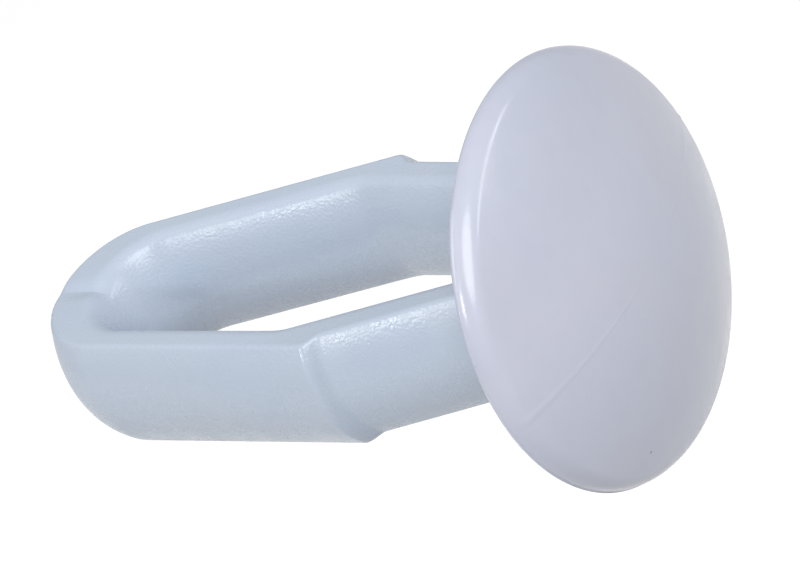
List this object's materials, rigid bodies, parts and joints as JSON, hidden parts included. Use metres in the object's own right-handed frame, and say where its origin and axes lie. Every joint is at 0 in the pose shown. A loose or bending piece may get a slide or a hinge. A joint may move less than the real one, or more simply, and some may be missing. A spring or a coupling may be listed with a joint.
{
  "type": "push-in wall anchor",
  "caption": "Push-in wall anchor: domed round head on two bowed spring legs with raised shoulders that meet in a rounded closed tip.",
  "frame": {"origin": "centre of the head's flat seating face, on the middle line of the wall hole", "axes": "+X out of the wall towards the domed crown, -X along the shank towards the tip; Y across the two legs; Z through the slot between the legs"},
  "size_m": [0.026, 0.016, 0.016],
  "materials": {
    "nylon": "natural milky-white nylon, satin, slightly translucent",
    "nylon_head": "natural milky-white nylon, smooth satin, slightly translucent"
  },
  "bodies": {
    "head": {"head_crown": "nylon_head", "head_rim": "nylon_head", "head_flange": "nylon_head", "head_hub": "nylon_head"},
    "neck_upper": {"neck_upper": "nylon"},
    "leg_upper": {"shoulder_upper": "nylon", "barb_upper": "nylon", "tip_upper": "nylon"},
    "neck_lower": {"neck_lower": "nylon"},
    "leg_lower": {"shoulder_lower": "nylon", "barb_lower": "nylon", "tip_lower": "nylon"}
  },
  "joints": [
    {"name": "squeeze", "type": "hinge", "parent": "head", "child": "neck_upper", "pos_m": [-0.00025, 0.00252, 0], "axis": [0, 0, 1], "range_deg": [0, 14], "stiffness_Nm_per_rad": 0.6},
    {"name": "bend_upper", "type": "hinge", "parent": "neck_upper", "child": "leg_upper", "pos_m": [-0.008, 0.00391, 0], "axis": [0, 0, 1], "range_deg": [-22.6, 0], "stiffness_Nm_per_rad": 0.15},
    {"name": "root_lower", "type": "hinge", "parent": "head", "child": "neck_lower", "pos_m": [-0.00025, -0.00252, 0], "axis": [0, 0, 1], "range_deg": [-14, 0], "stiffness_Nm_per_rad": 0.6},
    {"name": "bend_lower", "type": "hinge", "parent": "neck_lower", "child": "leg_lower", "pos_m": [-0.008, -0.00391, 0], "axis": [0, 0, 1], "range_deg": [0, 22.6], "stiffness_Nm_per_rad": 0.15}
  ],
  "couplings": [
    {"joint": "bend_upper", "follows": "squeeze", "ratio": -1.6115},
    {"joint": "root_lower", "follows": "squeeze", "ratio": -1},
    {"joint": "bend_lower", "follows": "squeeze", "ratio": 1.6115}
  ]
}
